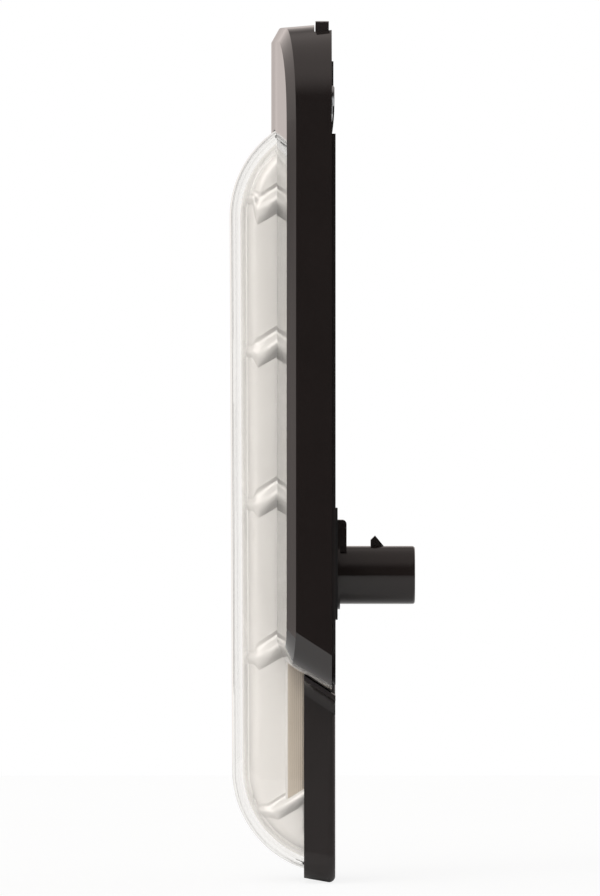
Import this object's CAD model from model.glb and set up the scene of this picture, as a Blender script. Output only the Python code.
# %% [markdown]
# # An auxiliary vehicle lamp, dressed for the camera
# A tall clear lens stands over four reflector bowls, in a black housing with a gloss trim cover. The CAD
# frame gives every size. This lesson adds what a frame can't show: clear acrylic with real thickness, a
# satin metallised reflector with its cross ribs, and the finish of each plastic, metal and rubber piece.

# %% Load the frame
import math

import bmesh
import bpy
import mathutils
import numpy as np
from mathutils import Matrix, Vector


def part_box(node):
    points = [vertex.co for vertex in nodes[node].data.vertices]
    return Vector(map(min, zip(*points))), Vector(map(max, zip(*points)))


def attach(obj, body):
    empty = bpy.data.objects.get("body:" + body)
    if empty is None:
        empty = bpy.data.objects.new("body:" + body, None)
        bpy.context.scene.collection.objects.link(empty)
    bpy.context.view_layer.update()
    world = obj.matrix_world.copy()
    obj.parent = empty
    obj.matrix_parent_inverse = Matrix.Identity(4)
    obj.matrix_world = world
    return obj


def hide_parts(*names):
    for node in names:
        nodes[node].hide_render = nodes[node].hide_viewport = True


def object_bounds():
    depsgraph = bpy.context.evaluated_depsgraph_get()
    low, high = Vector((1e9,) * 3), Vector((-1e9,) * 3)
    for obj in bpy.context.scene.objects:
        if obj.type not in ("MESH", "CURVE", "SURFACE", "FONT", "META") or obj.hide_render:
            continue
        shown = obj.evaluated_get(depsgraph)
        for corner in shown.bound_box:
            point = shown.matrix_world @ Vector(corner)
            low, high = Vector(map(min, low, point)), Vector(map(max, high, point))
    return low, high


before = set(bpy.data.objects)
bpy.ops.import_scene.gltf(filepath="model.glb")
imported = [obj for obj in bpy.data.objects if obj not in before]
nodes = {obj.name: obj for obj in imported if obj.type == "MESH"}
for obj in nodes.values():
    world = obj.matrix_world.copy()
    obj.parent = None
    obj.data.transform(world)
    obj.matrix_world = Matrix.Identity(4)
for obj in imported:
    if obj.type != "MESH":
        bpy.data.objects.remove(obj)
cad_box = [list(corner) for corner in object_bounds()]
MM = 0.001
print("CAD nodes:", len(nodes))
print("CAD box in mm:", [[round(v / MM, 1) for v in corner] for corner in cad_box])

# %% [markdown]
# ## Colours and nodes
# Each colour is written as an sRGB hex value, and Blender's shaders work in linear light, so one function
# does that step. Node trees could be drawn by hand in the shader editor, but a small helper that adds one
# node with its settings and links keeps each recipe short and readable.

# %% Colour and node helpers
def linear(hex_colour):
    """Linear RGBA of an sRGB hex colour: the low end is divided by 12.92, the rest follows a 2.4 power."""
    value = np.array([int(hex_colour[i:i + 2], 16) / 255 for i in (1, 3, 5)])
    value = np.where(value <= 0.04045, value / 12.92, ((value + 0.055) / 1.055) ** 2.4)
    return (*value.tolist(), 1.0)


def add_node(tree, kind, inputs=None, **settings):
    """Adds one node; inputs gives each socket a value or the output that feeds it."""
    node = tree.nodes.new(kind)
    for name, value in settings.items():
        setattr(node, name, value)
    for socket, value in (inputs or {}).items():
        if isinstance(value, bpy.types.NodeSocket):
            tree.links.new(value, node.inputs[socket])
        else:
            node.inputs[socket].default_value = value
    return node


def new_material(name, shader_inputs):
    """Material with one Principled shader, whose plain inputs are set directly."""
    material = bpy.data.materials.new(name)
    material.use_nodes = True
    shader = material.node_tree.nodes["Principled BSDF"]
    for socket, value in shader_inputs.items():
        shader.inputs[socket].default_value = value
    return material, material.node_tree, shader


def object_noise(tree, size_mm, detail=2.0, stretch=(1, 1, 1)):
    """Noise whose blotches are about size_mm wide, read in Object coordinates."""
    place = add_node(tree, "ShaderNodeTexCoord")
    scaled = add_node(tree, "ShaderNodeMapping", {"Vector": place.outputs["Object"], "Scale": stretch})
    return add_node(tree, "ShaderNodeTexNoise",
                    {"Vector": scaled.outputs["Vector"], "Scale": 1 / (size_mm * MM), "Detail": detail})


NOISE_MIDDLE = (0.3, 0.7)   # where most of a noise's values lie


def vary_roughness(tree, shader, noise, low, high):
    """Roughness that follows a noise, whose middle part is stretched to the range low to high."""
    spread = add_node(tree, "ShaderNodeMapRange", {
        "Value": noise, "From Min": NOISE_MIDDLE[0], "From Max": NOISE_MIDDLE[1],
        "To Min": low, "To Max": high})
    tree.links.new(spread.outputs["Result"], shader.inputs["Roughness"])


def add_bump(tree, shader, height, depth_mm, strength=1.0):
    """Sends a height signal to the shader's normal, with its depth in millimetres."""
    bump = add_node(tree, "ShaderNodeBump", {
        "Height": height, "Distance": depth_mm * MM, "Strength": strength})
    tree.links.new(bump.outputs["Normal"], shader.inputs["Normal"])


def tint(tree, shader, factor, low_hex, high_hex):
    """Base colour that wanders between two colours with a 0 to 1 factor."""
    mix = add_node(tree, "ShaderNodeMix", {
        0: factor, 6: linear(low_hex), 7: linear(high_hex)}, data_type="RGBA")
    tree.links.new(mix.outputs[2], shader.inputs["Base Color"])


print("White in linear light:", linear("#FFFFFF")[:3])

# %% [markdown]
# ## Surfaces from grids
# Every new piece is a sheet of points: two parameters run along the rows and columns of a grid, and a
# formula turns them into places. numpy works out the whole sheet at once. Sheets that meet share their edge
# points, so merging doubles closes the seams, and the faces are then turned outwards.

# %% Grid to mesh
def grid_faces(rows, columns, first):
    """Corner numbers of the four-sided faces between neighbouring rows and columns."""
    corner = first + np.arange(rows - 1)[:, None] * columns + np.arange(columns - 1)[None, :]
    return np.stack([corner, corner + 1, corner + columns + 1, corner + columns], axis=-1).reshape(-1, 4)


def make_piece(name, grids, material, sharp_degrees=35, weld_mm=0.004):
    """Object at the origin from grids of points in millimetres.

    Points that lie closer than weld_mm are merged, which closes the seams, and the faces are turned outwards.
    """
    faces, first = [], 0
    for grid in grids:
        faces.append(grid_faces(*grid.shape[:2], first))
        first += grid.shape[0] * grid.shape[1]
    points = np.concatenate([grid.reshape(-1, 3) for grid in grids]) * MM
    mesh = bpy.data.meshes.new(name)
    mesh.from_pydata(points, [], np.concatenate(faces))
    shape = bmesh.new()
    shape.from_mesh(mesh)
    bmesh.ops.remove_doubles(shape, verts=shape.verts, dist=weld_mm * MM)
    bmesh.ops.dissolve_degenerate(shape, dist=weld_mm * MM / 4, edges=shape.edges)
    bmesh.ops.recalc_face_normals(shape, faces=shape.faces)
    open_edges = sum(edge.is_boundary for edge in shape.edges)
    shape.to_mesh(mesh)
    shape.free()
    mesh.polygons.foreach_set("use_smooth", np.ones(len(mesh.polygons), bool))
    mesh.set_sharp_from_angle(angle=math.radians(sharp_degrees))
    mesh.materials.append(material)
    piece = bpy.data.objects.new(name, mesh)
    bpy.context.scene.collection.objects.link(piece)
    print(name, "faces", len(mesh.polygons), "open edges", open_edges)
    return piece


def stack_points(x, y, z):
    """Joins three arrays, stretched to one shape, into points."""
    return np.stack(np.broadcast_arrays(x, y, z), axis=-1)


# %% [markdown]
# ## The lens's side profile
# From the side the lens is a D: a straight front between two round ends. The same D, drawn a little
# smaller, gives the lens's inner wall and the reflector behind it, so one function makes them all. The
# frame gives the two numbers that fix it: how deep the lens is, and where its ends are.

# %% Side profile
lens_box = [np.array(corner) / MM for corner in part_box("lens")]
END_RADIUS = 25.5          # of the lens's round ends, seen from the side
TOP_CENTRE = (-0.2, 57.0)  # depth and height of the upper end's centre
LOW_CENTRE = (0.4, -77.2)
FRONT_LEAN = -math.atan2(LOW_CENTRE[0] - TOP_CENTRE[0], TOP_CENTRE[1] - LOW_CENTRE[1])


def end_angles(inset, rear_y, top):
    """Angle above the forward direction at which a round end reaches rear_y.

    Its cosine is the end centre's depth less rear_y, over the shrunk radius.
    """
    centre_y = (TOP_CENTRE if top else LOW_CENTRE)[0]
    return np.arccos((centre_y - rear_y) / (END_RADIUS - inset))


def on_profile(place, inset, rear_y):
    """Depth and height on the profile.

    place runs 0 to 1 over the top end, 1 to 2 down the front and 2 to 3 under. On an end, the angle runs
    evenly from where the arc meets rear_y to where the front starts, and a point is the end's centre plus the
    shrunk radius in that direction. The front is the straight line between the arcs.
    """
    place, inset = np.broadcast_arrays(np.asarray(place, float), np.asarray(inset, float))
    radius = END_RADIUS - inset
    top_turn, low_turn = end_angles(inset, rear_y, True), end_angles(inset, rear_y, False)
    top_angle = top_turn + (FRONT_LEAN - top_turn) * np.clip(place, 0, 1)
    low_angle = FRONT_LEAN + (-low_turn - FRONT_LEAN) * np.clip(place - 2, 0, 1)
    top_y, top_z = TOP_CENTRE[0] - radius * np.cos(top_angle), TOP_CENTRE[1] + radius * np.sin(top_angle)
    low_y, low_z = LOW_CENTRE[0] - radius * np.cos(low_angle), LOW_CENTRE[1] + radius * np.sin(low_angle)
    along = np.clip(place - 1, 0, 1)
    return top_y + (low_y - top_y) * along, top_z + (low_z - top_z) * along


print("lens front at", round(float(on_profile(1.0, 0.0, -4.4)[0]), 2), "mm, frame says",
      round(float(lens_box[0][1]), 2))

# %% [markdown]
# ## Clear acrylic for the lens
# The lens is injection-moulded acrylic, which is clearer than window glass and bends light with an IOR of
# 1.49. One transparent colour would show no thickness, so the shader is real glass, and shadow rays pass
# straight through it so that the lamps light what lies inside. A very shallow ripple stands for the
# moulding's flow. Some rays are led along inside the wall. Their reflections are counted, and a ray that
# has made too many is ended with the pale glow that such edges have, because following it further would
# only add speckles.

# %% Clear acrylic
GUIDED_BOUNCES = 6.5   # inner reflections after which guided light counts as the wall's own pale glow


def clear_acrylic():
    material, tree, shader = new_material("clear_acrylic_moulded", {
        "Base Color": linear("#FBF9F6"), "Roughness": 0.015, "IOR": 1.49, "Transmission Weight": 1.0})
    add_bump(tree, shader, object_noise(tree, 9.0).outputs["Fac"], 0.02, 0.08)
    clear = add_node(tree, "ShaderNodeBsdfTransparent", {"Color": linear("#FAFAF8")})
    path = add_node(tree, "ShaderNodeLightPath")
    mix = add_node(tree, "ShaderNodeMixShader", {0: path.outputs["Is Shadow Ray"],
                                                 1: shader.outputs["BSDF"], 2: clear.outputs["BSDF"]})
    guided = add_node(tree, "ShaderNodeMath", {0: path.outputs["Glossy Depth"], 1: GUIDED_BOUNCES},
                      operation="GREATER_THAN")
    glow = add_node(tree, "ShaderNodeEmission", {"Color": linear("#F6F5F3"), "Strength": 1.0})
    ended = add_node(tree, "ShaderNodeMixShader", {0: guided.outputs["Value"], 1: mix.outputs["Shader"],
                                                   2: glow.outputs["Emission"]})
    tree.links.new(ended.outputs["Shader"], tree.nodes["Material Output"].inputs["Surface"])
    return material


acrylic = clear_acrylic()
print("acrylic IOR 1.49, normal reflection", round(((1.49 - 1) / (1.49 + 1)) ** 2, 3))

# %% [markdown]
# ## The lens
# The lens is a deep clear shell: two flat sides, a crowned front, and long rounded edges between them.
# Blender's Bevel could round a box, but the wall's inner and outer faces have to stay 2.6 mm apart round
# the edge, because that is what draws the fine vertical lines that clear edges show. So both skins come
# from one formula, and a strip round the foot joins them.

# %% Lens shell
LENS_HALF_WIDTH, LENS_WALL, LENS_EDGE_ROUND = 20.6, 2.6, 5.2
LENS_FOOT_Y = -4.4


def profile_rows(end_steps, front_steps):
    """Places along the profile: even steps over each end and down the front."""
    return np.concatenate([np.linspace(0, 1, end_steps, endpoint=False),
                           np.linspace(1, 2, front_steps, endpoint=False), np.linspace(2, 3, end_steps + 1)])


def loaf_skin(half_width, inset, edge_round, foot_y, rows, side_steps=10, round_steps=14, crown_steps=16):
    """Skin of a D-shaped loaf: grids for one flat side, its edge round, the crown, and the other two again.

    The edge round is a quarter circle: its points are edge_round times the sine of an angle further out, and
    edge_round times one minus the cosine further in than the crown. The flat side is ruled straight from the
    round to the foot line.
    """
    place = rows[:, None]
    turn = np.linspace(0, math.pi / 2, round_steps + 1)
    sink = edge_round * (1 - np.cos(turn))
    y, z = on_profile(place, inset + sink, foot_y)
    edge = stack_points(half_width - edge_round + edge_round * np.sin(turn), y, z)
    rim = edge[:, -1, :]
    foot = rim.copy()
    foot[:, 1] = foot_y
    fraction = np.linspace(0, 1, side_steps + 1)[None, :, None]
    side = rim[:, None, :] * (1 - fraction) + foot[:, None, :] * fraction
    y, z = on_profile(place, inset, foot_y)
    across = np.linspace(-1, 1, crown_steps + 1) * (half_width - edge_round)
    crown = stack_points(across, y, z)
    mirror = np.array([-1, 1, 1])
    return [side, edge, crown, edge * mirror, side * mirror]


def foot_loop(skin):
    """The skin's edge along its foot, in order: over the top end, down one side, under, and up the other."""
    side, edge, crown, far_edge, far_side = skin
    top = np.concatenate([far_edge[0, ::-1], crown[0], edge[0]])
    low = np.concatenate([far_edge[-1, ::-1], crown[-1], edge[-1]])
    return np.concatenate([top, side[:, -1], low[::-1], far_side[::-1, -1]])


def lens_grids():
    rows = profile_rows(40, 60)
    outer = loaf_skin(LENS_HALF_WIDTH, 0.0, LENS_EDGE_ROUND, LENS_FOOT_Y, rows)
    inner = loaf_skin(LENS_HALF_WIDTH - LENS_WALL, LENS_WALL, LENS_EDGE_ROUND - LENS_WALL, LENS_FOOT_Y, rows)
    foot = np.stack([foot_loop(outer), foot_loop(inner)])
    return outer + inner + [foot]


lens = make_piece("clear_lens", lens_grids(), acrylic, 60)
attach(lens, "root")
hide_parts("lens")

# %% [markdown]
# ## Satin metallised reflector
# The reflector is a plastic moulding with a fine satin texture, coated with aluminium in a vacuum. The
# texture scatters most of the light, so it reads as a pale warm grey that darkens where a face turns down.
# The shader is part metal, with a grain of about 0.4 mm, coarser than the real one so that it shows.

# %% Metallised satin finish
def metallised_satin(name, low_hex, high_hex):
    material, tree, shader = new_material(name, {"Metallic": 0.3, "Roughness": 0.42})
    cloud = object_noise(tree, 14.0).outputs["Fac"]
    tint(tree, shader, cloud, low_hex, high_hex)
    grain = object_noise(tree, 0.4, 3.0).outputs["Fac"]
    add_bump(tree, shader, grain, 0.012, 0.5)
    return material, tree, shader


SKIN_TONES = ("#DFDDDC", "#E6E4E3")
satin = metallised_satin("metallised_satin_moulding", *SKIN_TONES)[0]
print("skin in linear light:", [round(value, 2) for value in linear(SKIN_TONES[0])[:3]])

# %% [markdown]
# ## Fluted plinth
# The plinth round the reflector's foot has fine upright flutes, about half a millimetre apart, and looks
# darker than the skin. Its flanks stand further out than the skin's and further back, so the width and the
# depth in Object coordinates tell the two apart. A wave along the depth gives the flutes.

# %% Fluted plinth finish
PLINTH_Y, PLINTH_EDGE, PLINTH_PROUD = -11.4, 0.7, 0.8
PLINTH_FROM_X, PLINTH_BLEND_X = 16.2, 0.2   # the darker tone's start, and how far it takes to be full
PLINTH_BLEND_Y = (0.25, 0.05)               # in front of the plinth's edge, where the tone starts and is full
FLUTE_PITCH = 0.5
WAVES_PER_SCALE = math.tau / 20             # a Wave texture repeats every 0.314 units at scale 1


def fluted_satin():
    material, tree, shader = metallised_satin("metallised_satin_fluted", *SKIN_TONES)
    skin_colour = shader.inputs["Base Color"].links[0].from_socket
    place = add_node(tree, "ShaderNodeTexCoord")
    split = add_node(tree, "ShaderNodeSeparateXYZ", {"Vector": place.outputs["Object"]})
    width = add_node(tree, "ShaderNodeMath", {0: split.outputs["X"]}, operation="ABSOLUTE")
    proud = add_node(tree, "ShaderNodeMapRange", {
        "Value": width.outputs["Value"],
        "From Min": PLINTH_FROM_X * MM, "From Max": (PLINTH_FROM_X + PLINTH_BLEND_X) * MM})
    deep = add_node(tree, "ShaderNodeMapRange", {
        "Value": split.outputs["Y"],
        "From Min": (PLINTH_Y - PLINTH_BLEND_Y[0]) * MM, "From Max": (PLINTH_Y - PLINTH_BLEND_Y[1]) * MM})
    on_plinth = add_node(tree, "ShaderNodeMath", {0: proud.outputs["Result"], 1: deep.outputs["Result"]},
                         operation="MULTIPLY")
    flutes = add_node(tree, "ShaderNodeTexWave", {
        "Vector": place.outputs["Object"], "Scale": WAVES_PER_SCALE / (FLUTE_PITCH * MM)},
        bands_direction="Y")
    dark_tone = add_node(tree, "ShaderNodeMix", {
        0: flutes.outputs["Fac"], 6: linear("#ADA295"), 7: linear("#C5BAAD")}, data_type="RGBA")
    colour = add_node(tree, "ShaderNodeMix", {
        0: on_plinth.outputs["Value"], 6: skin_colour, 7: dark_tone.outputs[2]}, data_type="RGBA")
    tree.links.new(colour.outputs[2], shader.inputs["Base Color"])
    return material


fluted = fluted_satin()
print("flutes", FLUTE_PITCH, "mm apart, wave scale", round(WAVES_PER_SCALE / (FLUTE_PITCH * MM)))

# %% [markdown]
# ## Where the reflector's skin lies
# The reflector is the lens's D drawn 4 mm smaller, with rounded long edges. Ribs and bowls both need the
# depth of its front at a height, so one function answers that, and the lines between the bowls are worked
# out once.

# %% Skin
SKIN_HALF_WIDTH, SKIN_INSET, SKIN_ROUND, SKIN_FOOT_Y = 15.9, 4.0, 2.8, -7.0
SKIN_RADIUS = END_RADIUS - SKIN_INSET
CROWN_HALF = SKIN_HALF_WIDTH - SKIN_ROUND
DIODE_TOP_Z, PITCH, BOWLS = 43.2, 37.3, 4
rib_lines = DIODE_TOP_Z + PITCH / 2 - PITCH * np.arange(BOWLS + 1)


def front_y(z, inset):
    """Depth of the profile's front: the end centres' depth less the leg of a right triangle.

    The triangle's long side is the shrunk radius. Its other leg is the height past the nearer end's centre.
    """
    centre = np.interp(z, [LOW_CENTRE[1], TOP_CENTRE[1]], [LOW_CENTRE[0], TOP_CENTRE[0]])
    past = np.maximum(z - TOP_CENTRE[1], 0) + np.maximum(LOW_CENTRE[1] - z, 0)
    return centre - np.sqrt(np.maximum((END_RADIUS - inset) ** 2 - past ** 2, 0))


print("rib lines at", rib_lines.round(2), "mm, front there at", front_y(rib_lines, SKIN_INSET).round(2))

# %% [markdown]
# ## Bowls
# Each diode sits at the bottom of a bowl: a paraboloid, because rays from its focus leave it straight
# forwards. The bowl is cut off by a rounded rectangle. Its grid runs round that opening in one direction
# and out from the diode's hole in the other, and it ends on the straight borders that it shares with its
# neighbours.

# %% Crown and bowls
def place_of(z):
    """Place on the reflector's crown for a height: by the arcsine on the ends, in proportion on the front."""
    top_turn, low_turn = (end_angles(SKIN_INSET, SKIN_FOOT_Y, top) for top in (True, False))
    top_z = TOP_CENTRE[1] + SKIN_RADIUS * math.sin(FRONT_LEAN)
    low_z = LOW_CENTRE[1] + SKIN_RADIUS * math.sin(FRONT_LEAN)
    top_angle = np.arcsin(np.clip((z - TOP_CENTRE[1]) / SKIN_RADIUS, -1, 1))
    low_angle = np.arcsin(np.clip((z - LOW_CENTRE[1]) / SKIN_RADIUS, -1, 1))
    on_top = (top_turn - top_angle) / (top_turn - FRONT_LEAN)
    on_front = 1 + (top_z - z) / (top_z - low_z)
    on_low = 2 + (low_angle - FRONT_LEAN) / (-low_turn - FRONT_LEAN)
    return np.where(z > top_z, on_top, np.where(z < low_z, on_low, on_front))


BOWL_HALF, BOWL_CORNER, BOWL_FOCUS, BOWL_BACK_Y = (12.6, 16.4), 6.0, 6.0, -6.6
DIODE_HOLE, RIM_ROUND = 2.7, 0.5


def border_points(z_low, z_high, x_steps, z_steps):
    """Loop round a rectangle of the crown, with even steps along each side, and its first point again."""
    x = np.linspace(-CROWN_HALF, CROWN_HALF, x_steps + 1)
    z = np.linspace(z_low, z_high, z_steps + 1)
    right = np.stack([np.full(z_steps, CROWN_HALF), z[:-1]], 1)
    top = np.stack([x[:0:-1], np.full(x_steps, z_high)], 1)
    left = np.stack([np.full(z_steps, -CROWN_HALF), z[:0:-1]], 1)
    low = np.stack([x[:-1], np.full(x_steps, z_low)], 1)
    loop = np.concatenate([right, top, left, low])
    return np.concatenate([loop, loop[:1]])


def rounded_rectangle_reach(way, half, corner):
    """Distance from the centre to a rounded rectangle's outline in each direction.

    The ray meets a straight side where it can, and otherwise the corner's circle, from the quadratic formula.
    """
    way = np.abs(way)
    inner = np.array(half) - corner
    side = np.min(np.array(half) / np.maximum(way, 1e-9), axis=1)
    hit = way * side[:, None]
    on_corner = np.all(hit > inner, axis=1)
    along = way @ inner
    reach = along + np.sqrt(np.maximum(along ** 2 - inner @ inner + corner ** 2, 0))
    return np.where(on_corner, reach, side)


def opening_grid(centre_z, border, reach, floor_y, hole, rim_round, floor_steps=16):
    """Grid of one opening in the crown: floor from the hole outwards, wall, rounded rim and land."""
    way = border - np.array([0, centre_z])
    length = np.linalg.norm(way, axis=1)
    way = way / length[:, None]
    floor = hole + (reach - hole) * np.linspace(0, 1, floor_steps + 1)[:, None] ** 0.8
    turn = np.linspace(0, math.pi / 2, 5)[:, None]
    rim_reach = np.minimum(rim_round, length - reach)
    rim = reach + rim_reach * (1 - np.cos(turn))
    land = rim[-1] + (length - rim[-1]) * np.linspace(0, 1, 6)[1:, None]
    radius = np.concatenate([floor, rim, land])
    x, z = radius * way[:, 0], centre_z + radius * way[:, 1]
    front = front_y(z, SKIN_INSET)
    y = front.copy()
    y[:len(floor)] = floor_y(floor)
    y[len(floor):len(floor) + len(rim)] += rim_round * (1 - np.sin(turn))
    return stack_points(x, y, z)


def bowl_grid(centre_z, z_low, z_high, z_steps):
    """One bowl: the floor's depth is its back less the squared radius over four focal lengths."""
    border = border_points(z_low, z_high, 24, z_steps)
    way = border - np.array([0, centre_z])
    reach = rounded_rectangle_reach(way / np.linalg.norm(way, axis=1)[:, None], BOWL_HALF, BOWL_CORNER)
    return opening_grid(centre_z, border, reach, lambda r: BOWL_BACK_Y - r ** 2 / (4 * BOWL_FOCUS),
                        DIODE_HOLE, RIM_ROUND)


SCREW_POCKET, SCREW_HOLE, SCREW_SEAT_Y = 2.4, 1.4, -9.0
SCREW_TOP_Z, SCREW_LOW_Z = 69.2, -89.4


def pocket_grid(centre_z, z_low, z_high, z_steps):
    """A screw's pocket in one end of the crown, with a flat floor."""
    border = border_points(z_low, z_high, 24, z_steps)
    reach = np.full(len(border), SCREW_POCKET)
    return opening_grid(centre_z, border, reach, lambda r: np.full(r.shape, SCREW_SEAT_Y), SCREW_HOLE, 0.3, 4)


borders = np.array([76.55, rib_lines[0], *rib_lines[1:-1], -86.15, -96.6])
BORDER_STEPS = [20, 50, 50, 50, 50, 16]
print("crown borders at", borders.round(2), "mm")

# %% [markdown]
# ## The reflector's skin
# The crown, the edge rounds and the flanks share their rows, so the whole front of the reflector closes
# into one skin. Solidify then gives it the moulding's wall, inwards.

# %% Reflector
PLINTH_LOW_Z, PLINTH_RAMP = -84.6, 2.2


def reflector_rows():
    """Places of all the rows: end strips, and the even height steps of each border stretch."""
    heights = [np.linspace(borders[i], borders[i + 1], steps + 1)[:-1]
               for i, steps in enumerate(BORDER_STEPS)]
    inner = place_of(np.concatenate([*heights, borders[-1:]]))
    return np.concatenate([np.linspace(0, inner[0], 5)[:-1], inner, np.linspace(inner[-1], 3, 5)[1:]])


def flank_grids(rows, round_steps=8, flat_steps=5, ledge_steps=5, plinth_steps=4):
    """Edge round and flank of one side.

    The flank is flat back to the plinth, whose front edge is a quarter ellipse: the sine of an angle stands
    out and the cosine comes forward. Near the plinth's lower end its height falls in a straight ramp.
    """
    turn = np.linspace(0, math.pi / 2, round_steps + 1)
    y, z = on_profile(rows[:, None], SKIN_INSET + SKIN_ROUND * (1 - np.cos(turn)), SKIN_FOOT_Y)
    edge = stack_points(CROWN_HALF + SKIN_ROUND * np.sin(turn), y, z)
    rim_y, rim_z = y[:, -1:], z[:, -1:]
    ledge = np.linspace(0, math.pi / 2, ledge_steps + 1)
    flat_end, back_start = np.maximum(PLINTH_Y - PLINTH_EDGE, rim_y), np.maximum(PLINTH_Y, rim_y)
    flat_y = rim_y + (flat_end - rim_y) * np.linspace(0, 1, flat_steps + 1)[:-1]
    ledge_y = np.maximum(PLINTH_Y - PLINTH_EDGE * np.cos(ledge), rim_y)
    back_y = back_start + (SKIN_FOOT_Y - back_start) * np.linspace(0, 1, plinth_steps + 1)[1:]
    side_y = np.concatenate([flat_y, ledge_y, back_y], axis=1)
    out = np.concatenate([np.zeros(flat_steps), np.sin(ledge), np.ones(plinth_steps)])
    ramp = np.interp(rim_z, [PLINTH_LOW_Z - PLINTH_RAMP, PLINTH_LOW_Z], [0, 1])
    return edge, stack_points(SKIN_HALF_WIDTH + PLINTH_PROUD * out * ramp, side_y, rim_z)


def reflector_grids():
    rows = reflector_rows()
    edge, side = flank_grids(rows)
    mirror = np.array([-1, 1, 1])
    grids = [edge, side, edge * mirror, side * mirror]
    across = np.linspace(-CROWN_HALF, CROWN_HALF, 25)
    for strip in (rows[:5], rows[-5:]):
        z = on_profile(strip, SKIN_INSET, SKIN_FOOT_Y)[1][:, None]
        grids.append(stack_points(across, front_y(z, SKIN_INSET), z))
    for i, centre in enumerate(DIODE_TOP_Z - PITCH * np.arange(BOWLS), 1):
        grids.append(bowl_grid(centre, borders[i + 1], borders[i], BORDER_STEPS[i]))
    grids.append(pocket_grid(SCREW_TOP_Z, borders[1], borders[0], BORDER_STEPS[0]))
    grids.append(pocket_grid(SCREW_LOW_Z, borders[-1], borders[-2], BORDER_STEPS[-1]))
    return grids


reflector = make_piece("metallised_reflector", reflector_grids(), fluted, 40)
SKIN_WALL = 1.0
wall = reflector.modifiers.new("moulding wall", "SOLIDIFY")
wall.thickness = SKIN_WALL * MM
wall.offset = -1
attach(reflector, "root")
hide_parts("reflector")

# %% [markdown]
# ## Ribs across the reflector
# Between two bowls a rib crosses the front and runs down both flanks, climbing as it goes back. From the
# side it is a long tongue: a small step and dip at its upper edge, a face that catches the light, and a
# steep lower face in shade. A height added to the flank's grid would give it stair-steps, because the rib
# runs aslant, so each rib is a strip of its own: one profile carried along one path, and let into the skin.

# %% Ribs
RIB_CLIMB, RIB_DROP = 0.6, 0.45
RIB_SHIFTS = (-2.3, 0.0, 0.8, 0.9, 0.3)       # of each rib's flank part from the line between two bowls
RIB_HALVES = (4.0, 3.75, 3.75, 3.55, 2.0)     # half the tongue's height at the rim
RIB_WIDEN = 0.03                              # growth of that half for each mm rearwards
RIB_HEIGHT, BAR_HEIGHT, BAR_HALF = 1.7, 0.55, 1.7
RIB_LET_IN, RIB_REAR_Y = 0.3, -7.4
TAPER_TURN = math.radians(58)                 # on the edge round, where a tongue has narrowed to its bar
TAPER_LEAD = 3.4                              # before the round, where its height starts to fall
RIB_STEP, RIB_DIP_AT, RIB_CREST = 0.28, 0.7, -0.12
RIB_DIP = 0.02                                # height at the dip, as a share


def rib_profile(steps=9):
    """Shares across the rib, from its upper edge to its lower one and back under it, and the height at each.

    The step is followed by a straight fall to the dip. From there to the crest the height is half a cosine
    wave, and under the crest a quarter of one. The way back lies at the depth that the rib is let in.
    """
    rise, fall = np.linspace(0, 1, steps + 1), np.linspace(0, 1, steps + 1)[1:]
    share = np.concatenate([[1, 1, (1 + RIB_DIP_AT) / 2], RIB_DIP_AT + (RIB_CREST - RIB_DIP_AT) * rise,
                            RIB_CREST + (-1 - RIB_CREST) * fall, [-1, 1]])
    climb = RIB_DIP + (1 - RIB_DIP) * (1 - np.cos(math.pi * rise)) / 2
    height = np.concatenate([[RIB_STEP / 2, RIB_STEP, RIB_STEP / 2], climb,
                             np.cos(math.pi / 2 * fall), [0, 0]])
    sunk = np.zeros(len(share))
    sunk[-2:] = 1
    return share, height, sunk


def eased(share):
    """Smooth step: three times the square less twice the cube of a share kept between 0 and 1."""
    share = np.clip(share, 0, 1)
    return share * share * (3 - 2 * share)


def rib_grid(line_z, shift, half, flank_steps=20, round_steps=14, bar_steps=10):
    """One rib's right half, from the flank's rear over the edge round to the middle of the front.

    A tongue narrows on the round, but its height starts to fall before it, so that its end is rounded off.
    """
    share, height, sunk = rib_profile()
    taper_length = SKIN_ROUND * (math.pi / 2 - TAPER_TURN)
    fall_length = TAPER_LEAD + taper_length
    rim_z = line_z + shift - RIB_DROP + share * half
    rim_y = front_y(rim_z, SKIN_INSET + SKIN_ROUND)
    y = RIB_REAR_Y + (rim_y - RIB_REAR_Y) * np.linspace(0, 1, flank_steps + 1)[:, None]
    z = rim_z + (RIB_CLIMB + RIB_WIDEN * share) * (y - rim_y)
    stand = BAR_HEIGHT + (RIB_HEIGHT - BAR_HEIGHT) * eased((y - rim_y + taper_length) / fall_length)
    flank = stack_points(SKIN_HALF_WIDTH + stand * height - RIB_LET_IN * sunk, y, z)
    turn = np.linspace(math.pi / 2, 0, round_steps + 1)[1:, None]
    narrow = eased((turn - TAPER_TURN) / (math.pi / 2 - TAPER_TURN))
    ahead = taper_length - SKIN_ROUND * (math.pi / 2 - turn)
    z = line_z + (shift - RIB_DROP) * narrow + share * (BAR_HALF + (half - BAR_HALF) * narrow)
    stand = BAR_HEIGHT + (RIB_HEIGHT - BAR_HEIGHT) * eased(ahead / fall_length)
    out = stand * height - RIB_LET_IN * sunk
    bend = stack_points(CROWN_HALF + (SKIN_ROUND + out) * np.sin(turn),
                        front_y(z, SKIN_INSET + SKIN_ROUND * (1 - np.cos(turn))) - out * np.cos(turn), z)
    across = CROWN_HALF * np.linspace(1, 0, bar_steps + 1)[1:, None]
    z = line_z + share * BAR_HALF
    bar = stack_points(across, front_y(z, SKIN_INSET) - (BAR_HEIGHT * height - RIB_LET_IN * sunk), z)
    grid = np.concatenate([flank, bend, bar])
    return np.concatenate([grid, grid[:, :1]], axis=1)


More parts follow.
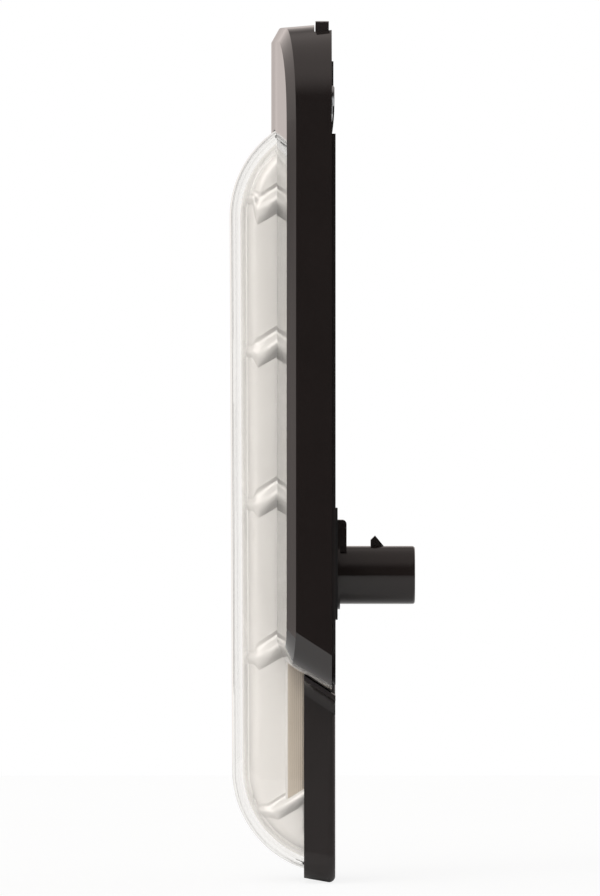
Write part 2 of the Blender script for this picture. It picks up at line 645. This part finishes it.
def rib_grids():
    """All ribs, each with its mirror image, and flat caps on the flanks' rear ends."""
    grids = []
    for line_z, shift, half in zip(rib_lines, RIB_SHIFTS, RIB_HALVES):
        right = rib_grid(line_z, shift, half)
        for side in (right, right * np.array([-1, 1, 1])):
            grids += [side, np.stack([side[0], np.broadcast_to(side[0, :-1].mean(axis=0), side[0].shape)])]
    return grids


ribs = make_piece("reflector_ribs", rib_grids(), satin, 28)
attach(ribs, "root")
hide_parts("reflector")

# %% [markdown]
# ## Plastics
# The trim cover is moulded in a polished tool and comes out like piano lacquer, so its roughness is low and
# it mirrors the room. The housing comes from a sparked tool, whose fine pits give a satin black. Both
# plastics are never quite even: dust and handling lift the roughness a little in soft patches.

# %% Plastics
def moulded_plastic(name, low_hex, high_hex, roughness, patch_rough, grain_mm, grain_depth_mm, ior=1.5):
    """Opaque plastic: a colour that wanders slightly, roughness patches, and a grain for its finish."""
    material, tree, shader = new_material(name, {"IOR": ior})
    cloud = object_noise(tree, 18.0).outputs["Fac"]
    tint(tree, shader, cloud, low_hex, high_hex)
    patch = object_noise(tree, 6.0, 4.0).outputs["Fac"]
    vary_roughness(tree, shader, patch, roughness, roughness + patch_rough)
    add_bump(tree, shader, object_noise(tree, grain_mm, 3.0).outputs["Fac"], grain_depth_mm, 0.5)
    return material


gloss_black = moulded_plastic("abs_polished_black", "#1C1817", "#221D1C", 0.05, 0.05, 3.0, 0.002, 1.49)
lacquer = gloss_black.node_tree.nodes["Principled BSDF"].inputs
lacquer["Coat Weight"].default_value = 0.8
lacquer["Coat Roughness"].default_value = 0.02
satin_black = moulded_plastic("abs_sparked_black", "#1D1817", "#251F1E", 0.3, 0.08, 0.35, 0.015)
connector_black = moulded_plastic("nylon_moulded_black", "#1C1716", "#241E1C", 0.14, 0.06, 0.6, 0.004)
clip_black = moulded_plastic("acetal_moulded_black", "#2B2827", "#322E2D", 0.3, 0.08, 0.4, 0.01)
epoxy_black = moulded_plastic("epoxy_moulded_black", "#202021", "#29292A", 0.5, 0.1, 0.15, 0.01)
ceramic_brown = moulded_plastic("ceramic_fired_brown", "#7A5A3E", "#8A6A4C", 0.45, 0.1, 0.2, 0.01)
membrane_white = moulded_plastic("ptfe_membrane_white", "#DADAD8", "#E8E8E6", 0.7, 0.1, 0.2, 0.02)

# %% [markdown]
# ## Rubbers
# The sealant bead, the connector's seal ring and its foam gasket never shine. Foam has closed cells of
# about half a millimetre, which a Voronoi pattern draws; the two rubbers only have a soft skin.

# %% Rubbers and foam
def soft_rubber(name, low_hex, high_hex, roughness, cell_mm=None):
    """Matt elastomer, with pitted cells where cell_mm gives their size."""
    material, tree, shader = new_material(name, {"Roughness": roughness, "IOR": 1.43})
    tint(tree, shader, object_noise(tree, 5.0).outputs["Fac"], low_hex, high_hex)
    if cell_mm:
        place = add_node(tree, "ShaderNodeTexCoord")
        cells = add_node(tree, "ShaderNodeTexVoronoi",
                         {"Vector": place.outputs["Object"], "Scale": 1 / (cell_mm * MM)})
        add_bump(tree, shader, cells.outputs["Distance"], 0.12, 0.8)
    else:
        add_bump(tree, shader, object_noise(tree, 0.8).outputs["Fac"], 0.02, 0.6)
    return material


sealant_black = soft_rubber("silicone_sealant_black", "#1E1E1E", "#262525", 0.6)
seal_red = soft_rubber("silicone_seal_red_brown", "#7C3A2C", "#8A4534", 0.55)
foam_black = soft_rubber("closed_cell_foam_black", "#232222", "#2C2B2B", 0.85, 0.5)

# %% [markdown]
# ## Metals
# Screws are zinc plated, which is slightly blue and cloudy. The inserts are turned brass, and the pins are
# tin plated and softer in shine. One recipe serves all three: soft clouds of colour and roughness, and a
# grain of a quarter of a millimetre. Metals keep the shader's own IOR.

# %% Metals
CLOUD_ROUGHNESS = 0.12   # how much rougher the dullest clouds are


def plated_metal(name, low_hex, high_hex, roughness, cloud_mm):
    """Metal whose colour and roughness change in soft clouds."""
    material, tree, shader = new_material(name, {"Metallic": 1.0})
    cloud = object_noise(tree, cloud_mm, 3.0).outputs["Fac"]
    tint(tree, shader, cloud, low_hex, high_hex)
    vary_roughness(tree, shader, cloud, roughness, roughness + CLOUD_ROUGHNESS)
    add_bump(tree, shader, object_noise(tree, 0.25, 3.0).outputs["Fac"], 0.004, 0.5)
    return material


zinc_steel = plated_metal("steel_zinc_plated", "#B4B7BA", "#C6C8CA", 0.26, 1.2)
turned_brass = plated_metal("brass_turned", "#B8954F", "#CDAA63", 0.28, 0.8)
tinned_copper = plated_metal("copper_tin_plated", "#BDBCB8", "#CFCECA", 0.3, 1.0)

# %% [markdown]
# ## Board and diodes
# The board is glass-fibre laminate under a white solder mask, whose weave just shows through as a fine
# square ripple. A diode is a white package with a phosphor dome: the dome lies further forward, so the
# depth in Object coordinates tells the two apart without a second mesh.

# %% Board and diodes
def white_laminate():
    material, tree, shader = new_material("fr4_white_solder_mask", {"Roughness": 0.32, "IOR": 1.5})
    tint(tree, shader, object_noise(tree, 8.0).outputs["Fac"], "#DDDFDB", "#E8E9E5")
    place = add_node(tree, "ShaderNodeTexCoord")
    waves = [add_node(tree, "ShaderNodeTexWave", {"Vector": place.outputs["Object"], "Scale": 1 / (3.2 * MM)},
                      bands_direction=way).outputs["Fac"] for way in ("X", "Z")]
    weave = add_node(tree, "ShaderNodeMath", {0: waves[0], 1: waves[1]}, operation="MULTIPLY")
    add_bump(tree, shader, weave.outputs["Value"], 0.01, 0.5)
    return material


def diode_finish():
    material, tree, shader = new_material("led_package_and_phosphor", {"Roughness": 0.3, "IOR": 1.5})
    place = add_node(tree, "ShaderNodeTexCoord")
    split = add_node(tree, "ShaderNodeSeparateXYZ", {"Vector": place.outputs["Object"]})
    dome = add_node(tree, "ShaderNodeMapRange", {"Value": split.outputs["Y"], "From Min": -7.3 * MM,
                                                 "From Max": -7.4 * MM})
    tint(tree, shader, dome.outputs["Result"], "#ECEAE4", "#E3CF7A")
    add_bump(tree, shader, object_noise(tree, 0.6).outputs["Fac"], 0.01, 0.3)
    return material


laminate, diode_white = white_laminate(), diode_finish()

# %% [markdown]
# ## Dress the CAD pieces
# Everything that the frame already shapes well keeps its CAD mesh and only gets its finish.

# %% Assign finishes
finishes = {
    "housing": satin_black, "trim_cover": gloss_black, "lens_sealant": sealant_black,
    "circuit_board": laminate, "driver_chip": epoxy_black, "diode": epoxy_black, "resistors": epoxy_black,
    "capacitors": ceramic_brown, "connector_socket": connector_black, "connector_seal": seal_red,
    "connector_gasket": foam_black, "threaded_inserts": turned_brass, "trim_screws": zinc_steel,
    "board_screws": zinc_steel, "reflector_screws": zinc_steel, "vent_membrane": membrane_white,
    "top_clip": clip_black, "terminal_pin_1": tinned_copper, "terminal_pin_2": tinned_copper,
    **{"led_" + str(i): diode_white for i in range(1, BOWLS + 1)},
}
for name, finish in finishes.items():
    nodes[name].data.materials.clear()
    nodes[name].data.materials.append(finish)
    print(name, "->", finish.name)

# %% [markdown]
# ## Studio
# The photograph shows the lamp against pure white, with its black side wall facing a dark room. The world
# gives three answers. The camera and clear plastic see white. Reflections see a faintly warm room that is
# bright behind the lamp, dark on the camera's side and lighter again overhead. Everything else gets a soft
# level that is lower from below. Each level changes smoothly along one axis, and a table holds them all.

# %% World
LEVELS = {   # axis, share of the direction along it where a change starts and ends, and the two levels
    "lit": ("Z", -0.5, 0.5, 0.28, 0.6),
    "side": ("X", 0.35, -0.92, 0.02, 0.95),
    "straight behind": ("X", -0.95, -0.99, 1.0, 0.6),
    "below": ("Z", -0.6, 0.0, 0.35, 1.0),
    "high": ("Z", 0.15, 0.7, 1.0, 0.25),
    "overhead": ("Z", 0.45, 0.9, 0.0, 0.5),
}
CLEAR_SIGHT = 0.5   # a ray that has met fewer matt surfaces than this sees white through clear plastic


def studio_world():
    """Background whose strength depends on the ray and on its direction."""
    world = bpy.data.worlds.new("white studio")
    world.use_nodes = True
    bpy.context.scene.world = world
    tree = world.node_tree
    place = add_node(tree, "ShaderNodeTexCoord")
    way = add_node(tree, "ShaderNodeSeparateXYZ", {"Vector": place.outputs["Generated"]}).outputs
    level = {}
    for name, (axis, start, end, first, last) in LEVELS.items():
        level[name] = add_node(tree, "ShaderNodeMapRange", {
            "Value": way[axis], "From Min": start, "From Max": end, "To Min": first, "To Max": last},
            interpolation_type="SMOOTHSTEP").outputs["Result"]
    mirrored = level["side"]
    for name, operation in (("straight behind", "MULTIPLY"), ("below", "MULTIPLY"), ("high", "MULTIPLY"),
                            ("overhead", "MAXIMUM")):
        mirrored = add_node(tree, "ShaderNodeMath", {0: mirrored, 1: level[name]},
                            operation=operation).outputs["Value"]
    path = add_node(tree, "ShaderNodeLightPath").outputs
    opaque = add_node(tree, "ShaderNodeMath", {0: 1.0, 1: path["Is Transmission Ray"]}, operation="SUBTRACT")
    reflection = add_node(tree, "ShaderNodeMath", {0: path["Is Glossy Ray"], 1: opaque.outputs["Value"]},
                          operation="MULTIPLY").outputs["Value"]
    unseen = add_node(tree, "ShaderNodeMix", {0: reflection, 2: level["lit"], 3: mirrored})
    straight = add_node(tree, "ShaderNodeMath", {0: path["Diffuse Depth"], 1: CLEAR_SIGHT},
                        operation="LESS_THAN")
    through = add_node(tree, "ShaderNodeMath", {0: path["Is Transmission Ray"], 1: straight.outputs["Value"]},
                       operation="MULTIPLY")
    seen = add_node(tree, "ShaderNodeMath", {0: path["Is Camera Ray"], 1: through.outputs["Value"]},
                    operation="MAXIMUM")
    strength = add_node(tree, "ShaderNodeMix", {0: seen.outputs["Value"], 2: unseen.outputs[0], 3: 1.0})
    tree.links.new(strength.outputs[0], tree.nodes["Background"].inputs["Strength"])
    warm = add_node(tree, "ShaderNodeMix", {0: reflection, 6: linear("#FFFFFF"), 7: linear("#FFF3EE")},
                    data_type="RGBA")
    tree.links.new(warm.outputs[2], tree.nodes["Background"].inputs["Color"])


studio_world()
print("world levels:", ", ".join(LEVELS))

# %% [markdown]
# ## Key light
# A large soft light stands above the camera's side, a little in front of the lamp. A sun lamp with a wide
# angle gives that evenly, at a strength that makes a pale face turned to it render about as its colour is
# written.

# %% Key light
KEY_WAY = (0.78, -0.3, 0.55)


def key_light(strength=1.7, angle_degrees=50):
    light = bpy.data.lights.new("soft key", "SUN")
    light.energy = strength
    light.angle = math.radians(angle_degrees)
    light.color = linear("#FFFFFF")[:3]
    key = bpy.data.objects.new("soft key", light)
    key.rotation_euler = mathutils.Vector(KEY_WAY).to_track_quat("Z", "Y").to_euler()
    key.visible_glossy = False
    bpy.context.scene.collection.objects.link(key)
    return key


print("key light turned", [round(math.degrees(turn)) for turn in key_light().rotation_euler], "degrees")

# %% [markdown]
# ## Bounces
# Light that enters the lens's wall is led along it by many inner reflections before it comes out. With the
# usual limit of 12 bounces those paths end black and the lens gets a dark edge, so the limit is raised.

# %% Bounces
cycles = bpy.context.scene.cycles
cycles.max_bounces, cycles.transmission_bounces, cycles.glossy_bounces = 40, 40, 24
print("bounces", cycles.max_bounces)

# %% [markdown]
# ## Floor
# A pale floor lies just under the lamp. To the camera it is mostly white light, as the backdrop is, and the
# rest is a plain matt surface, which keeps the lamp's soft shadow.

# %% Floor
FLOOR_GAP = 0.2          # under the lamp
FLOOR_HALF = 0.8         # metres
FLOOR_GLOW_SHARE = 0.8   # of what the camera sees, the rest being the matt surface
FLOOR_GLOW = 1.06        # a little over white, to make up for the matt share


def pale_floor():
    mesh = bpy.data.meshes.new("floor")
    half, z = FLOOR_HALF, cad_box[0][2] - FLOOR_GAP * MM
    corners = [(-half, -half, z), (half, -half, z), (half, half, z), (-half, half, z)]
    mesh.from_pydata(corners, [], [(0, 1, 2, 3)])
    floor = bpy.data.objects.new("floor", mesh)
    bpy.context.scene.collection.objects.link(floor)
    material, tree, shader = new_material("painted_pale_floor", {"Roughness": 0.9})
    tint(tree, shader, object_noise(tree, 60.0).outputs["Fac"], "#E4E3E1", "#EAE9E8")
    glow = add_node(tree, "ShaderNodeEmission", {"Color": linear("#FFFFFF"), "Strength": FLOOR_GLOW})
    path = add_node(tree, "ShaderNodeLightPath").outputs
    seen = add_node(tree, "ShaderNodeMath", {0: path["Is Camera Ray"], 1: path["Is Transmission Ray"]},
                    operation="MAXIMUM")
    share = add_node(tree, "ShaderNodeMath", {0: seen.outputs["Value"], 1: FLOOR_GLOW_SHARE},
                     operation="MULTIPLY")
    mix = add_node(tree, "ShaderNodeMixShader", {0: share.outputs["Value"], 1: shader.outputs["BSDF"],
                                                 2: glow.outputs["Emission"]})
    tree.links.new(mix.outputs["Shader"], tree.nodes["Material Output"].inputs["Surface"])
    mesh.materials.append(material)
    print("floor at", round(z / MM, 2), "mm")


pale_floor()

# %% [markdown]
# ## Camera
# The photograph looks at the lamp's side, square on, from far away. The lens length follows from the
# distance and from how much of the middle plane fits the picture's height.

# %% Camera
DISTANCE = 2.5
PICTURE_HEIGHT = 219.3 * MM   # of the lamp's middle plane
AIM = (0.0, -8.57 * MM, 0.86 * MM)
SENSOR = 36.0
camera = bpy.data.objects.new("camera", bpy.data.cameras.new("camera"))
bpy.context.scene.collection.objects.link(camera)
camera.data.sensor_width = SENSOR
camera.data.lens = DISTANCE * SENSOR / PICTURE_HEIGHT
camera.data.clip_start, camera.data.clip_end = 0.1, 20.0
camera.location = (DISTANCE, AIM[1], AIM[2])
camera.rotation_euler = (math.pi / 2, 0, math.pi / 2)
bpy.context.scene.camera = camera
bpy.context.scene.view_settings.view_transform = "Standard"
print("camera lens", round(camera.data.lens, 1), "mm")
